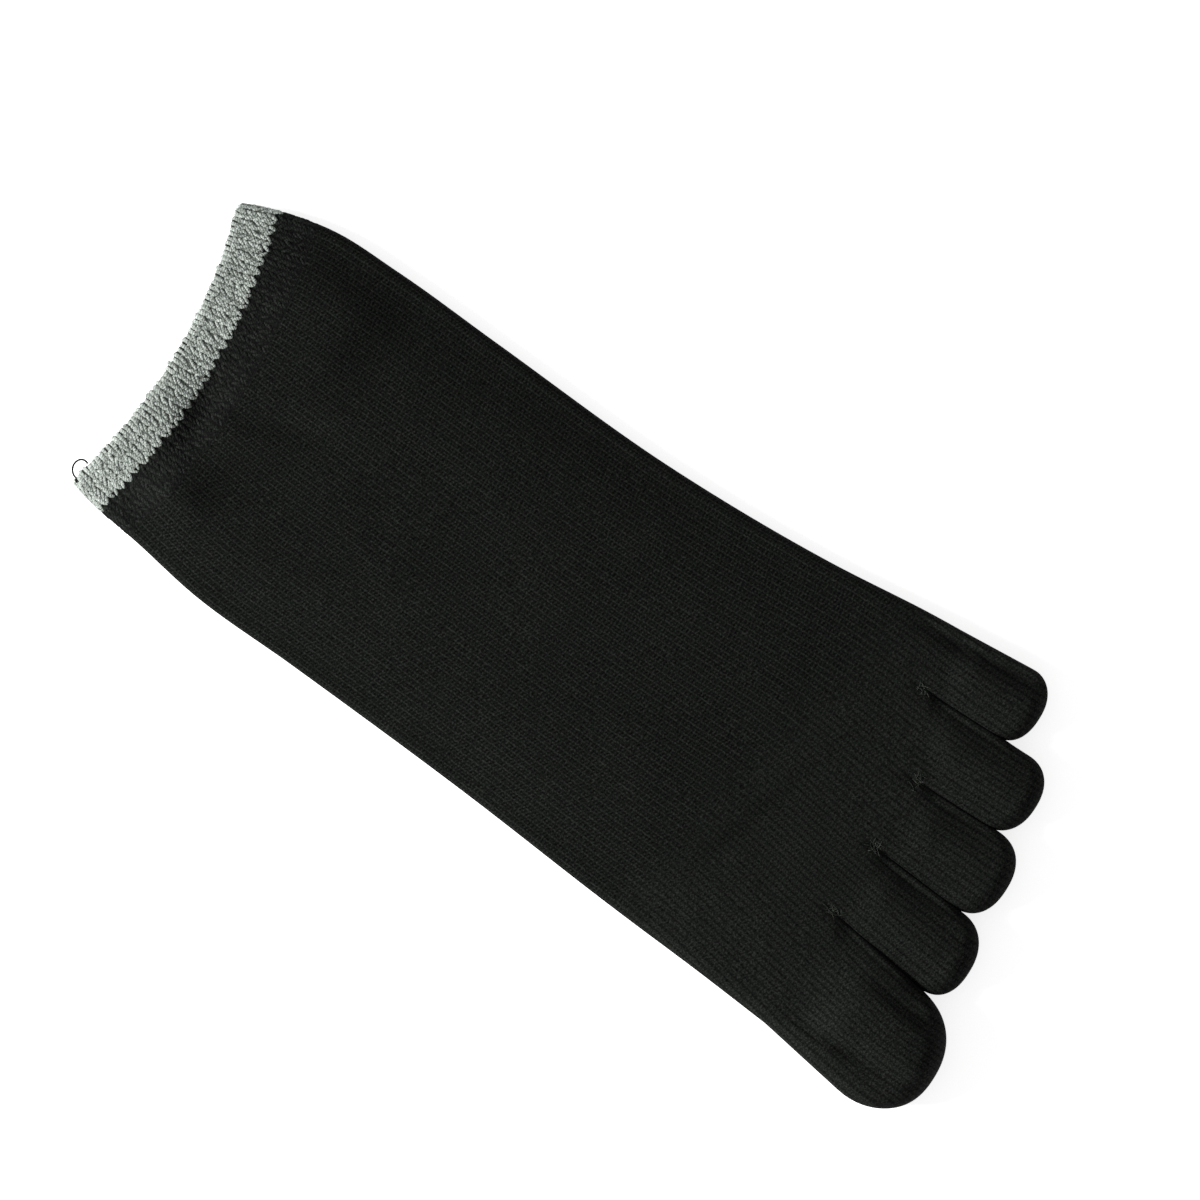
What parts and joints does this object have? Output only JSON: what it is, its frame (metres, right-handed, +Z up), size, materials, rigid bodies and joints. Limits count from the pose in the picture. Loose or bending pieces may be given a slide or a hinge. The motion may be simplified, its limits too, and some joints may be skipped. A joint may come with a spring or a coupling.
{
  "type": "toe sock",
  "caption": "Knitted left-foot toe sock lying flat, with a grey ribbed welt, a black tube and separate toe pockets, open at the welt.",
  "frame": {"origin": "under the middle of the sock's box, on the surface that it lies on", "axes": "toes along -Y, foot opening along +Y, top of the foot up along +Z, big toe on the -X side"},
  "size_m": [0.1158, 0.2636, 0.0119],
  "materials": {
    "grey_knit": "matt heathered chunky knit",
    "black_rib": "matt elastic rib knit",
    "black_knit": "matt plain cotton knit"
  },
  "bodies": {
    "root": {"cuff_band": "grey_knit", "rib_band": "black_rib", "foot_tube": "black_knit", "big_toe": "black_knit", "second_toe": "black_knit", "middle_toe": "black_knit", "fourth_toe": "black_knit", "little_toe": "black_knit"}
  },
  "joints": []
}
